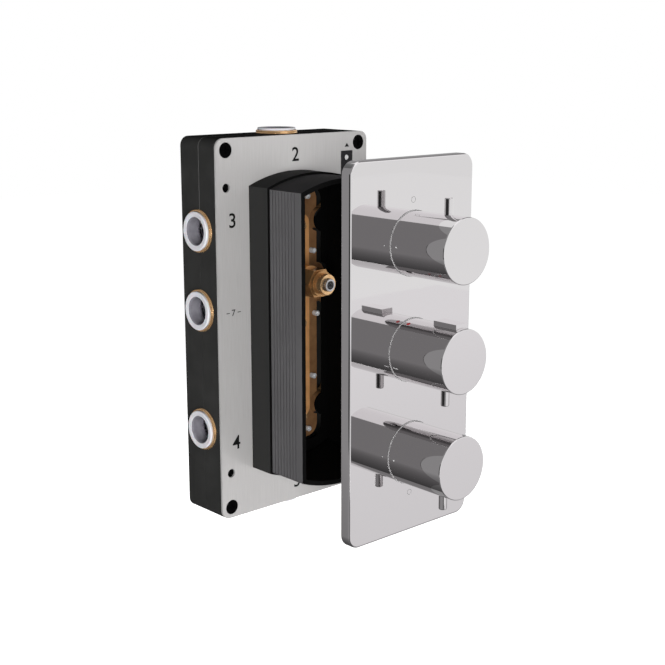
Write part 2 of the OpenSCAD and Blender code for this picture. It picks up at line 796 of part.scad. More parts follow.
module thermostat_body() {
    color("#a87e48") difference() {
        union() {
            rod_y(cart_neck_r, cart_neck_front, raised_depth + cut);
            rod_y(cart_r, raised_depth, thermo_end);
        }
        rod_y(spindle_r + run, cart_neck_front - cut, thermo_cavity + cut);
        rod_y(cavity_r, thermo_cavity, thermo_end - thermo_cap_t);
        rod_y(mixed_r, thermo_end - thermo_cap_t - cut, thermo_end + cut);
        // Windows for hot, cold and mixed water
        translate([0, channel_depth - box_d, 0]) rotate([0, 90, 0])
            cylinder(r = thermo_window_r, h = 2 * cart_r + cut, center = true);
        translate([0, mixed_depth + thermo_mixed_r + cut - box_d, 0])
            cylinder(r = thermo_mixed_r, h = 2 * cart_r + cut, center = true);
    }
}

module thermostat_spindle() {
    color("#c8a468") {
        tip(spindle_r, tip_flat, -spindle_reach, -spindle_reach + tip_l, 0);
        rod_y(spindle_r, -spindle_reach + tip_l, thermo_cavity + free);
        rod_y(pusher_r, thermo_cavity + free, thermo_cavity + free + pusher_t);
    }
}

module wax_element() {
    color("#b87333") {
        rod_y(wax_pin_r, thermo_cavity + 3 * free + pusher_t, wax_depth);
        rod_y(wax_r, wax_depth, wax_depth + wax_l);
    }
}

module regulating_spool() {
    color("#8f8f92") difference() {
        rod_y(spool_r, spool_depth, spool_depth + spool_l);
        rod_y(spool_bore_r, spool_depth - cut, spool_web_depth);
        rod_y(spool_bore_r, spool_web_depth + spool_web_t, spool_depth + spool_l + cut);
        rod_y(wax_r + thread_gap, spool_web_depth - cut, spool_web_depth + spool_web_t + cut);
    }
}

module return_spring() {
    low = spool_depth + spool_l + run;
    color("#cfcfd2") translate([0, low - box_d, 0]) rotate([-90, 0, 0])
        coil(return_spring_r + return_wire_r, return_wire_r,
            thermo_end - thermo_cap_t - run - low, return_turns);
}

module flow_body(z) {
    color("#a87e48") difference() {
        union() {
            rod_y(cart_neck_r, cart_neck_front, raised_depth + cut, 0, z);
            rod_y(cart_r, raised_depth, flow_end, 0, z);
        }
        rod_y(spindle_r + run, cart_neck_front - cut, flow_cavity + cut, 0, z);
        rod_y(cavity_r, flow_cavity, flow_end + cut, 0, z);
        translate([0, channel_depth - box_d, z]) rotate([0, 90, 0])
            cylinder(r = drop_r, h = 2 * cart_r + cut, center = true);
        translate([0, channel_depth - box_d, z])
            cylinder(r = drop_r, h = 2 * cart_r + cut, center = true);
    }
}

module fixed_disc(z) {
    color("#f2efe8") difference() {
        rod_y(disc_r, flow_end - disc_t, flow_end, 0, z);
        for (sx = [-1, 1])
            rod_y(disc_hole_r, flow_end - disc_t - cut, flow_end + cut, sx * disc_hole_x, z);
    }
}

module moving_disc(z) {
    front = flow_end - 2 * disc_t - run;
    color("#f2efe8") difference() {
        rod_y(disc_r - run, front, front + disc_t, 0, z);
        rod_y(disc_hole_r, front - cut, front + disc_t + cut, 0, z + disc_hole_x);
        block(tang_l + seat, tang_w + seat, front - cut, front + tang_h + seat, 0, z - free);
    }
}

module valve_spindle(z) {
    front = flow_end - 2 * disc_t - run;
    color("#c8a468") {
        tip(spindle_r, tip_flat, -spindle_reach, -spindle_reach + tip_l, z);
        rod_y(spindle_r, -spindle_reach + tip_l, front - drive_t, 0, z);
        rod_y(drive_r, front - drive_t, front - run, 0, z);
        block(tang_l, tang_w - free, front - run, front + tang_h, 0, z - free);
    }
}

module cartridge_nuts() {
    color("#b98f55") for (sz = [-1, 0, 1]) difference() {
        hex_y(nut_af, nut_front, raised_depth, sz * control_pitch);
        rod_y(cart_neck_r + seat, nut_front - cut, raised_depth + cut, 0, sz * control_pitch);
    }
}

module isolator_bonnet() {
    color("#8a6236") difference() {
        union() {
            rod_y(isolator_bore_r - seat, boss_front, bonnet_stem_end, 0, isolator_z);
            rod_y(isolator_boss_r, bonnet_base_front, boss_front, 0, isolator_z);
            hex_y(bonnet_hex_af, bonnet_hex_front, bonnet_base_front, isolator_z);
            rod_y(bonnet_ring_r, bonnet_ring_front, bonnet_hex_front, 0, isolator_z);
        }
        rod_y(isolator_spindle_r + run, bonnet_ring_front - cut, bonnet_stem_end + cut, 0, isolator_z);
    }
}

module gland_nut() {
    color("#a87e48") difference() {
        rod_y(gland_r, gland_front, bonnet_ring_front, 0, isolator_z);
        rod_y(isolator_spindle_r + run, gland_front - cut, bonnet_ring_front + cut, 0, isolator_z);
    }
}

module isolator_spindle() {
    color("#9c9ca0") {
        difference() {
            rod_y(isolator_spindle_r, -isolator_reach, bonnet_stem_end, 0, isolator_z);
            rod_y(spindle_hole_r, -isolator_reach - cut, -isolator_reach + spindle_hole_depth,
                0, isolator_z);
            for (i = [0 : spline_count - 1]) translate([0, 0, isolator_z])
                rotate([0, 360 * i / spline_count, 0])
                    block(2 * spline_depth, 2 * spline_depth, -isolator_reach - cut,
                        -isolator_reach + spline_l, isolator_spindle_r, 0);
        }
        rod_y(isolator_stem_r, bonnet_stem_end - cut, isolator_jumper_depth + cut, 0, isolator_z);
        rod_y(isolator_jumper_r, isolator_jumper_depth, isolator_jumper_depth + isolator_jumper_t,
            0, isolator_z);
    }
}

module cover_plate() {
    color("#c9c8c9") difference() {
        flat(cover_front, -cover_gap) round_rect(cover_w, cover_h, cover_r);
        flat(cover_front + cover_wall, -cover_gap + cut)
            round_rect(cover_w - 2 * cover_wall, cover_h - 2 * cover_wall, cover_r - cover_wall);
        for (sz = [-1, 0, 1])
            rod_y(bush_r, cover_front - cut, cover_front + cover_wall + cut, 0, sz * control_pitch);
    }
}

module cover_seal() {
    outer = cover_wall + seat;
    inner = outer + seal_w;
    color("#5a5a5c") difference() {
        flat(-cover_gap - seal_t, -cover_gap)
            round_rect(cover_w - 2 * outer, cover_h - 2 * outer, cover_r - outer);
        flat(-cover_gap - seal_t - cut, -cover_gap + cut)
            round_rect(cover_w - 2 * inner, cover_h - 2 * inner, cover_r - inner);
    }
}

module guide_bushes() {
    flange_front = cover_front + cover_wall;
    color("#d9d9d6") for (sz = [-1, 0, 1]) difference() {
        union() {
            rod_y(bush_r - seat / 2, cover_front, flange_front, 0, sz * control_pitch);
            rod_y(bush_flange_r, flange_front, flange_front + bush_flange_t, 0, sz * control_pitch);
            rod_y(bush_r, flange_front + bush_flange_t, flange_front + bush_reach, 0, sz * control_pitch);
        }
        rod_y(extension_r + run, cover_front - cut, flange_front + bush_reach + cut,
            0, sz * control_pitch);
    }
}

// Hollow knob with a hub for the extension and a cross hole for the lever pin
module knob(z, pin_side) {
    difference() {
        union() {
            difference() {
                rod_y(knob_r, knob_front, knob_base, 0, z);
                rod_y(knob_r - knob_wall, knob_front + knob_cap_t, knob_base + cut, 0, z);
            }
            rod_y(hub_r, knob_front + knob_cap_t / 2, knob_front + knob_cap_t + extension_end_l, 0, z);
        }
        rod_y(extension_end_r + run, knob_front + knob_cap_t, knob_base + cut, 0, z);
        translate([0, pin_depth - box_d, z]) rotate([pin_side > 0 ? 0 : 180, 0, 0])
            cylinder(r = pin_d / 2 + run, h = knob_r + cut);
    }
}

module top_knob() { color("#a5a4a5") knob(control_pitch, 1); }

module bottom_knob() { color("#a5a4a5") knob(-control_pitch, -1); }

module temperature_knob() {
    color("#a5a4a5") difference() {
        knob(0, -1);
        translate([-button_w / 2 - free, button_back - button_l - free - box_d, hub_r + free])
            cube([button_w + 2 * free, button_l + 2 * free, knob_r]);
    }
}

module lever_pin(z, pin_side) {
    color("#cfcecf") translate([0, pin_depth - box_d, z]) rotate([pin_side > 0 ? 0 : 180, 0, 0]) {
        translate([0, 0, pin_root])
            cylinder(r = pin_d / 2, h = knob_r + pin_proud - pin_root - pin_dome);
        translate([0, 0, knob_r + pin_proud - pin_dome])
            cylinder(r1 = pin_d / 2, r2 = pin_d / 2 - pin_dome, h = pin_dome);
    }
}

module extension(z) {
    step = knob_front + knob_cap_t + extension_end_l;
    color("#b7b7ba") difference() {
        union() {
            rod_y(extension_end_r, knob_front + knob_cap_t + free, step + cut, 0, z);
            rod_y(extension_r, step + free, extension_tail, 0, z);
        }
        tip(spindle_r + tail_gap, tip_flat + 2 * tail_gap, extension_tail - tail_socket_l,
            extension_tail + cut, z);
    }
}

module safety_button() {
    foot_top = button_floor + button_foot;
    color("#cfcecf") {
        translate([-button_w / 2, button_back - button_l - box_d, foot_top - cut])
            cube([button_w, button_l, button_top - foot_top + cut]);
        translate([-button_w / 2 - button_foot_lip, button_back - button_l + free - box_d, button_floor])
            cube([button_w + 2 * button_foot_lip, button_l - free + button_foot_lip, button_foot]);
    }
}

module button_spring() {
    color("#bdbdbf") translate([0, button_back - button_l / 4 - box_d, hub_r + run])
        coil(button_spring_r, button_wire_r, button_floor - hub_r - 2 * run, button_turns);
}

rear_housing();
front_housing();
mounting_plate();
plate_screws();
setting_strip();
guard_collar();
guard_sleeve();
manifold_body();
manifold_gasket();
manifold_cover();
manifold_screws();
port_sockets();
collet(0);  // collet_1
collet(1);  // collet_2
collet(2);  // collet_3
collet(3);  // collet_4
collet(4);  // collet_5
collet(5);  // collet_6
collet(6);  // collet_hot
collet(7);  // collet_cold
grab_rings();
pipe_seals();
inlet_strainers();
check_cages();
check_poppet(6);  // hot_check_poppet
check_poppet(7);  // cold_check_poppet
check_spring(6);  // hot_check_spring
check_spring(7);  // cold_check_spring
thermostat_body();
thermostat_spindle();
wax_element();
regulating_spool();
return_spring();
flow_body(control_pitch);  // top_valve_body
fixed_disc(control_pitch);  // top_fixed_disc
moving_disc(control_pitch);  // top_moving_disc
valve_spindle(control_pitch);  // top_valve_spindle
flow_body(-control_pitch);  // bottom_valve_body
fixed_disc(-control_pitch);  // bottom_fixed_disc
moving_disc(-control_pitch);  // bottom_moving_disc
valve_spindle(-control_pitch);  // bottom_valve_spindle
cartridge_nuts();
isolator_bonnet();
gland_nut();
isolator_spindle();
cover_plate();
cover_seal();
guide_bushes();
top_knob();
temperature_knob();
bottom_knob();
lever_pin(control_pitch, 1);  // top_lever_pin
lever_pin(0, -1);  // temperature_lever_pin
lever_pin(-control_pitch, -1);  // bottom_lever_pin
extension(control_pitch);  // top_extension
extension(0);  // temperature_extension
extension(-control_pitch);  // bottom_extension
safety_button();
button_spring();
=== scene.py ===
import json
import math

import bmesh
import bpy
from mathutils import Matrix, Vector

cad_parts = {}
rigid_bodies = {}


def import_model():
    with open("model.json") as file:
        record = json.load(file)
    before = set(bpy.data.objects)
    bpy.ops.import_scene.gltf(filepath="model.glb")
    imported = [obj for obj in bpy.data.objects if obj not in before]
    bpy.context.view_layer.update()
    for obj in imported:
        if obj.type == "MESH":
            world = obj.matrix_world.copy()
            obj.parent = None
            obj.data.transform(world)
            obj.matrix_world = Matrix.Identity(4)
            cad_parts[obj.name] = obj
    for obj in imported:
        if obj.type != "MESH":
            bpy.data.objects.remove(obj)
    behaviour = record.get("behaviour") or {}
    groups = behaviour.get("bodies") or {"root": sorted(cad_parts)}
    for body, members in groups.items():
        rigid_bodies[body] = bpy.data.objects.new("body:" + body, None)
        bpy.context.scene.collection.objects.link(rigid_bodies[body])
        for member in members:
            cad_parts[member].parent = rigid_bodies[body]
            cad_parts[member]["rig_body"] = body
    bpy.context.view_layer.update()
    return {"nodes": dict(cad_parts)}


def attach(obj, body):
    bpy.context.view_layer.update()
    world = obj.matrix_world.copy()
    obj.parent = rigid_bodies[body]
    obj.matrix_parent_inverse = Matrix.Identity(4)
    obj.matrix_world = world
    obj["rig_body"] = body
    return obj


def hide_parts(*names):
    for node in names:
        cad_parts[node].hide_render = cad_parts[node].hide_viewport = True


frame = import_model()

nodes = frame["nodes"]

# The valve hangs in a white studio and is seen from the left and a little above. The eye stands
# where the photographer's stood; the lens gives the same height of the cover in the frame.
EYE_PLACE = (-0.7114, -0.8801, 0.2358)
LOOKS_DOWN = math.radians(12.67)
TURNS_RIGHT = 0.7388
scene = bpy.context.scene
scene.view_settings.view_transform = "Standard"
eye = bpy.data.objects.new("Eye", bpy.data.cameras.new("Eye"))
eye.data.lens = 66.8
eye.data.sensor_width = 36.0
eye.data.clip_start = 0.01
eye.location = EYE_PLACE
eye.rotation_euler = (math.radians(90) - LOOKS_DOWN, 0, -TURNS_RIGHT)
scene.collection.objects.link(eye)
scene.camera = eye


def seen_directly(tree):
    """Factor that is 1 for what is seen straight, in a mirror or through glass."""
    path = tree.nodes.new("ShaderNodeLightPath")
    seen = tree.nodes.new("ShaderNodeMath")
    seen.operation = "MAXIMUM"
    tree.links.new(path.outputs["Is Camera Ray"], seen.inputs[0])
    tree.links.new(path.outputs["Is Glossy Ray"], seen.inputs[1])
    through = tree.nodes.new("ShaderNodeMath")
    through.operation = "MAXIMUM"
    tree.links.new(seen.outputs[0], through.inputs[0])
    tree.links.new(path.outputs["Is Transmission Ray"], through.inputs[1])
    return through.outputs[0]


SOFT_STRENGTH = 0.13
room = bpy.data.worlds.new("Studio")
scene.world = room
room.use_nodes = True
room_tree = room.node_tree
soft_light = room_tree.nodes["Background"]
soft_light.inputs["Color"].default_value = (1, 1, 1, 1)
soft_light.inputs["Strength"].default_value = SOFT_STRENGTH
white_wall = room_tree.nodes.new("ShaderNodeBackground")
white_wall.inputs["Color"].default_value = (1, 1, 1, 1)
white_wall.inputs["Strength"].default_value = 1.0
wall_mix = room_tree.nodes.new("ShaderNodeMixShader")
room_tree.links.new(seen_directly(room_tree), wall_mix.inputs[0])
room_tree.links.new(soft_light.outputs[0], wall_mix.inputs[1])
room_tree.links.new(white_wall.outputs[0], wall_mix.inputs[2])
room_tree.links.new(wall_mix.outputs[0], room_tree.nodes["World Output"].inputs["Surface"])

# A matt white floor lies well below the valve. Where it is looked at it is lifted to the backdrop's
# white, more so far out where the lamps don't reach, and only the valve's faint shadow shows on it.
FLOOR_Z = -0.62
FLOOR_HALF = 6.0
LAMPLIT_SPOT = (0.6, -1.0, 0)
LIFT_NEAR, LIFT_FAR = 0.60, 0.91
LIFT_FROM, LIFT_TO = 0.8, 2.3
floor_mesh = bpy.data.meshes.new("Floor")
floor_bm = bmesh.new()
bmesh.ops.create_grid(floor_bm, x_segments=1, y_segments=1, size=FLOOR_HALF)
floor_bm.to_mesh(floor_mesh)
floor_bm.free()
floor = bpy.data.objects.new("Floor", floor_mesh)
floor.location.z = FLOOR_Z
scene.collection.objects.link(floor)
floor_paint = bpy.data.materials.new("Floor paint")
floor_paint.use_nodes = True
paint_tree = floor_paint.node_tree
paint_tree.nodes.remove(paint_tree.nodes["Principled BSDF"])
matt_white = paint_tree.nodes.new("ShaderNodeBsdfDiffuse")
matt_white.inputs["Color"].default_value = (0.9, 0.9, 0.9, 1)
lift = paint_tree.nodes.new("ShaderNodeEmission")
floor_place = paint_tree.nodes.new("ShaderNodeTexCoord")
reach = paint_tree.nodes.new("ShaderNodeVectorMath")
reach.operation = "DISTANCE"
reach.inputs[1].default_value = LAMPLIT_SPOT
paint_tree.links.new(floor_place.outputs["Object"], reach.inputs[0])
fall_off = paint_tree.nodes.new("ShaderNodeMapRange")
fall_off.inputs["From Min"].default_value = LIFT_FROM
fall_off.inputs["From Max"].default_value = LIFT_TO
fall_off.inputs["To Min"].default_value = LIFT_NEAR
fall_off.inputs["To Max"].default_value = LIFT_FAR
paint_tree.links.new(reach.outputs["Value"], fall_off.inputs["Value"])
paint_tree.links.new(fall_off.outputs["Result"], lift.inputs["Strength"])
lifted = paint_tree.nodes.new("ShaderNodeAddShader")
paint_tree.links.new(matt_white.outputs[0], lifted.inputs[0])
paint_tree.links.new(lift.outputs[0], lifted.inputs[1])
floor_mix = paint_tree.nodes.new("ShaderNodeMixShader")
paint_tree.links.new(seen_directly(paint_tree), floor_mix.inputs[0])
paint_tree.links.new(matt_white.outputs[0], floor_mix.inputs[1])
paint_tree.links.new(lifted.outputs[0], floor_mix.inputs[2])
paint_tree.links.new(floor_mix.outputs[0], paint_tree.nodes["Material Output"].inputs["Surface"])
floor_mesh.materials.append(floor_paint)

# Grey cards stand left, in front, behind, overhead and low, as a product photographer places them:
# they give the chrome its dark side, darker downwards. Two lit panels give the bright bands.
# Only mirrors see them, and they throw no shade.
def card_paint(name, grey, far=None, axis="Y", start=-0.9, end=-2.2):
    """Flat light of one grey, or drifting to another along an axis."""
    made = bpy.data.materials.new(name)
    made.use_nodes = True
    tree = made.node_tree
    tree.nodes.remove(tree.nodes["Principled BSDF"])
    glow = tree.nodes.new("ShaderNodeEmission")
    glow.inputs["Color"].default_value = (1.0, 0.985, 1.0, 1)
    glow.inputs["Strength"].default_value = grey
    if far is not None:
        place = tree.nodes.new("ShaderNodeTexCoord")
        axes = tree.nodes.new("ShaderNodeSeparateXYZ")
        drift = tree.nodes.new("ShaderNodeMapRange")
        drift.inputs["From Min"].default_value = start
        drift.inputs["From Max"].default_value = end
        drift.inputs["To Min"].default_value = grey
        drift.inputs["To Max"].default_value = far
        tree.links.new(place.outputs["Object"], axes.inputs[0])
        tree.links.new(axes.outputs[axis], drift.inputs["Value"])
        tree.links.new(drift.outputs["Result"], glow.inputs["Strength"])
    tree.links.new(glow.outputs[0], tree.nodes["Material Output"].inputs["Surface"])
    return made


LEFT, FRONT, BACK, CEILING, LOW = -1.7, -2.6, 2.2, 2.29, -0.6
card_grey = card_paint("Card grey", 0.33)
flag_black = card_paint("Flag black", 0.03)
panel_white = card_paint("Panel white", 1.25)
floor_grey = card_paint("Floor card", 0.87, 1.0)
low_grey = card_paint("Low card", 0.33, 0.08, "X", -1.15, 0.0)
for card_name, corner, across, up, made in (
        ("Card_left", (LEFT, BACK, -0.61), (0, -4.8, 0), (0, 0, 2.9), card_grey),
        ("Card_front", (LEFT, FRONT, 0.6), (1.6, 0, 0), (0, 0, 1.69), card_grey),
        ("Card_back", (LEFT, BACK, -0.61), (5.6, 0, 0), (0, 0, 2.9), card_grey),
        ("Card_top", (LEFT, FRONT, CEILING), (1.6, 0, 0), (0, 4.8, 0), card_grey),
        ("Flag_left", (-1.65, -1.4, LOW), (0, 2.3, 0), (0, 0, 1.0), flag_black),
        ("Card_low_left", (LEFT, FRONT, LOW), (0.95, 0, 0), (0, 4.8, 0), low_grey),
        ("Card_low_right", (-0.75, -1.5, LOW), (0.77, 0, 0), (0, 3.7, 0), low_grey),
        ("Card_low_back", (0.02, -0.75, LOW), (3.8, 0, 0), (0, 2.95, 0), card_grey),
        ("Card_low_far", (0.03, FRONT, LOW), (2.6, 0, 0), (0, 1.85, 0), floor_grey),
        ("Card_top_right", (1.3, FRONT, CEILING), (2.6, 0, 0), (0, 4.8, 0), card_grey),
        ("Panel_front", (-0.08, FRONT, 0.35), (3.2, 0, 0), (0, 0, 1.94), panel_white),
        ("Panel_top", (-0.08, FRONT, CEILING), (1.38, 0, 0), (0, 2.9, 0), panel_white)):
    card_mesh = bpy.data.meshes.new(card_name)
    card_bm = bmesh.new()
    a, u, v = Vector(corner), Vector(across), Vector(up)
    card_bm.faces.new([card_bm.verts.new(p) for p in (a, a + u, a + u + v, a + v)])
    card_bm.to_mesh(card_mesh)
    card_bm.free()
    card_mesh.materials.append(made)
    card = bpy.data.objects.new(card_name, card_mesh)
    scene.collection.objects.link(card)
    card.visible_camera = False
    card.visible_shadow = False
    card.visible_diffuse = False
    card.visible_transmission = False

# Soft boxes: a small strong one beside the camera reaches past the cover plate to the brass in the
# guard, weaker ones above and from the right draw the edges, and two low ones fill the far sides.
for lamp_name, place, raised, turned_left, size, power in (
        ("Softbox_left", (-0.97, -1.36, 0.12), 87, -35.5, 0.6, 33.0),
        ("Softbox_top", (0.3, -1.7, 1.0), 60, 10, 1.2, 2.0),
        ("Softbox_right", (2.0, -1.7, 0.8), 73, 49, 1.2, 7.0),
        ("Softbox_side", (2.1, 0.5, 0.1), 88, 103, 1.0, 14.0),
        ("Softbox_back", (0.2, 2.0, 0.1), 88, 174, 1.0, 14.0)):
    lamp = bpy.data.objects.new(lamp_name, bpy.data.lights.new(lamp_name, "AREA"))
    lamp.data.shape = "SQUARE"
    lamp.data.size = size
    lamp.data.energy = power
    lamp.location = place
    lamp.rotation_euler = (math.radians(raised), 0, math.radians(turned_left))
    lamp.visible_glossy = False
    scene.collection.objects.link(lamp)


# The rough-in box is two halves of black nylon-filled plastic, moulded with a fine spark texture
# and closed on a seam. The walls meet in small radii, and the four long screws hold them together.
MM = 0.001
BOX_DEPTH = 50 * MM
CONTROLS = {"top": 88 * MM, "temperature": 0.0, "bottom": -88 * MM}
SHARP = math.radians(35)
CREASE = math.radians(38)


def finish(name, colour, metallic, roughness, specular=0.5):
    """A material with its own colour, shine and a plain shader to build on."""
    made = bpy.data.materials.new(name)
    made.use_nodes = True
    shader = made.node_tree.nodes["Principled BSDF"]
    shader.inputs["Base Color"].default_value = (*colour, 1)
    shader.inputs["Metallic"].default_value = metallic
    shader.inputs["Roughness"].default_value = roughness
    shader.inputs["Specular IOR Level"].default_value = specular
    return made


def noise_of(made, scale, stretch=(1, 1, 1), detail=3.0):
    """Noise on the piece's own coordinates, stretched along the way the surface was worked."""
    tree = made.node_tree
    place = tree.nodes.new("ShaderNodeTexCoord")
    mapping = tree.nodes.new("ShaderNodeMapping")
    mapping.inputs["Scale"].default_value = stretch
    noise = tree.nodes.new("ShaderNodeTexNoise")
    noise.inputs["Scale"].default_value = scale
    noise.inputs["Detail"].default_value = detail
    tree.links.new(place.outputs["Object"], mapping.inputs["Vector"])
    tree.links.new(mapping.outputs["Vector"], noise.inputs["Vector"])
    return noise.outputs["Fac"]


def vary_colour(made, pattern, dark, light, low=0.35, high=0.65):
    """The colour drifts between two shades with the pattern."""
    tree = made.node_tree
    ramp = tree.nodes.new("ShaderNodeValToRGB")
    ramp.color_ramp.elements[0].position = low
    ramp.color_ramp.elements[0].color = (*dark, 1)
    ramp.color_ramp.elements[1].position = high
    ramp.color_ramp.elements[1].color = (*light, 1)
    tree.links.new(pattern, ramp.inputs["Fac"])
    tree.links.new(ramp.outputs["Color"], tree.nodes["Principled BSDF"].inputs["Base Color"])


def vary_shine(made, pattern, smooth, rough):
    """The roughness drifts between two values with the pattern."""
    tree = made.node_tree
    span = tree.nodes.new("ShaderNodeMapRange")
    span.inputs["From Min"].default_value = 0.3
    span.inputs["From Max"].default_value = 0.7
    span.inputs["To Min"].default_value = smooth
    span.inputs["To Max"].default_value = rough
    tree.links.new(pattern, span.inputs["Value"])
    tree.links.new(span.outputs["Result"], tree.nodes["Principled BSDF"].inputs["Roughness"])


def relief(made, pattern, height, strength=1.0):
    """Fine relief of the given height in metres."""
    tree = made.node_tree
    bump = tree.nodes.new("ShaderNodeBump")
    bump.inputs["Strength"].default_value = strength
    bump.inputs["Distance"].default_value = height
    tree.links.new(pattern, bump.inputs["Height"])
    tree.links.new(bump.outputs["Normal"], tree.nodes["Principled BSDF"].inputs["Normal"])


def solid_of(node):
    """The node's own solid as a clean mesh: points merged, flat areas made one face again."""
    bm = bmesh.new()
    bm.from_mesh(nodes[node].data)
    bmesh.ops.remove_doubles(bm, verts=bm.verts, dist=2e-6)
    bmesh.ops.dissolve_limit(bm, angle_limit=math.radians(0.4), verts=bm.verts, edges=bm.edges)
    return bm


def break_edges(bm, radius, steps=2, where=None):
    """Rounds the sharp edges, all of them or those that are picked."""
    edges = [e for e in bm.edges if len(e.link_faces) == 2
             and e.calc_face_angle(0.0) > SHARP and (where is None or where(e))]
    bmesh.ops.bevel(bm, geom=edges, offset=radius, segments=steps, affect="EDGES", profile=0.5,
                    material=-1, clamp_overlap=True)


def make_piece(name, bm, body, materials, stands_for=(), weighted=True):
    """Turns a bmesh into a piece that rides on a body, smooth but for its real creases."""
    for face in bm.faces:
        face.smooth = True
    for edge in bm.edges:
        edge.smooth = len(edge.link_faces) == 2 and edge.calc_face_angle(0.0) < CREASE
    mesh = bpy.data.meshes.new(name)
    bm.to_mesh(mesh)
    bm.free()
    for made in materials:
        mesh.materials.append(made)
    piece = bpy.data.objects.new(name, mesh)
    scene.collection.objects.link(piece)
    if weighted:
        even = piece.modifiers.new("Even shading", "WEIGHTED_NORMAL")
        even.mode = "FACE_AREA"
        even.weight = 50
        even.keep_sharp = True
    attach(piece, body)
    if stands_for:
        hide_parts(*stands_for)
    return piece


def front_outline(bm):
    """Picks the edges round the front of a cover or knob, not those of the holes in it."""
    front = min(v.co.y for v in bm.verts)

    def on_outline(vert):
        off_axis = min(math.hypot(vert.co.x, vert.co.z - height) for height in CONTROLS.values())
        return vert.co.y < front + 0.01 * MM and off_axis > 20 * MM
    return lambda edge: all(on_outline(v) for v in edge.verts)


def soften(node, radius, materials, steps=2, tint=None, rim=None):
    """The node's solid with its edges broken, in the node's place; tint picks a face's material,
    and rim is a larger radius for the outline of the front."""
    bm = solid_of(node)
    if rim is not None:
        break_edges(bm, rim, 4, front_outline(bm))
    for face in bm.faces:
        face.material_index = tint(face) if tint is not None else 0
    break_edges(bm, radius, steps)
    return make_piece(node + "_finished", bm, nodes[node]["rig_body"], materials, (node,))


def dress(made, *names):
    """Gives CAD nodes that keep their own shape a finish."""
    for name in names:
        for material_slot in nodes[name].material_slots:
            material_slot.material = made


moulded_black = finish("Moulded black", (0.026, 0.026, 0.0255), 0.0, 0.6, 0.0)
vary_colour(moulded_black, noise_of(moulded_black, 28.0),
            (0.026, 0.026, 0.0255), (0.033, 0.033, 0.0322))
relief(moulded_black, noise_of(moulded_black, 2200.0, detail=5.0), 0.00003, 0.5)
WELL_HALF_X, WELL_HALF_Z, WELL_DEPTH = 51.5 * MM, 137 * MM, 15 * MM
WALL_HOLE_X, WALL_HOLE_Z, WALL_HOLE_R = 76.5 * MM, 126.4 * MM, 4.1 * MM
SEAM_Y, SEAM_HALF = 25 * MM, 0.7 * MM
SKIN_X, SKIN_Z = 86 * MM, 167 * MM
# Painted shade: near black in the well, the screw holes, the seam groove and inside the guard.
shade_black = finish("Painted shade black", (0.003, 0.003, 0.003), 0.0, 0.75, 0.03)
relief(shade_black, noise_of(shade_black, 1800.0), 0.00003, 0.4)


def shaded_faces(face):
    """Walls and floor of the well that the guard stands on, the wall screws' holes and the seam
    groove, all painted near black as shade.
    """
    c = face.calc_center_median()
    n = face.normal
    inward = abs(c.x) < WELL_HALF_X and abs(c.z) < WELL_HALF_Z and c.y < WELL_DEPTH - BOX_DEPTH
    well = inward and (n.y < -0.5 or n.x * c.x + n.z * c.z < 0)
    hole = math.hypot(abs(c.x) - WALL_HOLE_X, abs(c.z) - WALL_HOLE_Z) < WALL_HOLE_R
    seam = abs(c.y + SEAM_Y) < SEAM_HALF and (abs(c.x) > SKIN_X or abs(c.z) > SKIN_Z)
    return 1 if well or hole or seam else 0


soften("rear_housing", 0.0006, [moulded_black])
soften("front_housing", 0.0005, [moulded_black, shade_black], tint=shaded_faces)

# Round the two upper corners a thin lip stands in front of the seam, painted light grey as the
# highlight on the seam's edge. Below the uppermost side sockets the seam is only a groove painted
# dark as shade.
seam_highlight_grey = finish("Painted seam highlight", (0.13, 0.13, 0.129), 0.0, 0.5, 0.1)
relief(seam_highlight_grey, noise_of(seam_highlight_grey, 900.0), 0.00002, 0.3)
BEND_X, BEND_Z, BEND_R = 79, 160, 8.03
bend = [(BEND_X + BEND_R * math.cos(math.radians(a)), BEND_Z + BEND_R * math.sin(math.radians(a)))
        for a in range(0, 91, 10)]
SIDE_END_Z, TOP_END_X = 106.4, 17.9
highlight_path = [(BEND_X + BEND_R, SIDE_END_Z)] + bend + [(TOP_END_X, BEND_Z + BEND_R)]
seam_highlight_bm = bmesh.new()
for side in (-1, 1):
    rows = [[seam_highlight_bm.verts.new((side * x * MM, y * MM - SEAM_Y, z * MM)) for y in (-0.65, -1.15)]
            for x, z in highlight_path]
    for near, far in zip(rows, rows[1:]):
        seam_highlight_bm.faces.new((near[0], far[0], far[1], near[1]))
make_piece("seam_highlight_strip", seam_highlight_bm, "rough_box", [seam_highlight_grey], weighted=False)

# The mounting plate is 2 mm stainless sheet, laser cut and grained lightly from top to bottom. It
# carries the screw holes, and its edges are only deburred.
plate_steel = finish("Grained sheet steel", (0.47, 0.46, 0.455), 0.35, 0.36)
grain = noise_of(plate_steel, 60.0, (30.0, 1.0, 0.6), 6.0)
vary_colour(plate_steel, grain, (0.44, 0.43, 0.425), (0.50, 0.49, 0.485), 0.3, 0.7)
vary_shine(plate_steel, grain, 0.30, 0.40)
relief(plate_steel, grain, 0.00001, 0.25)
soften("mounting_plate", 0.0003, [plate_steel])

# Black cross-recess screws fill the plate's four corner holes. Their heads are countersunk flush.
screw_black = finish("Blackened screw", (0.0012, 0.0012, 0.0012), 0.0, 0.6, 0.02)
relief(screw_black, noise_of(screw_black, 1500.0), 0.00001, 0.5)
soften("plate_screws", 0.0002, [screw_black])

# The setting strip is a dark insert in the plate with three white dots, moulded in a second shot.
strip_dark = finish("Strip plastic", (0.020, 0.019, 0.021), 0.0, 0.5, 0.1)
relief(strip_dark, noise_of(strip_dark, 1800.0), 0.00002, 0.4)
soften("setting_strip", 0.0003, [strip_dark])
dot_white = finish("Dot white", (0.80, 0.80, 0.80), 0.0, 0.45)
vary_colour(dot_white, noise_of(dot_white, 400.0), (0.76, 0.76, 0.76), (0.83, 0.83, 0.83))


def facing_out(x, y, z):
    """From flat on the table to facing the room at a point."""
    return Matrix.Translation((x, y, z)) @ Matrix.Rotation(math.radians(90), 4, "X")


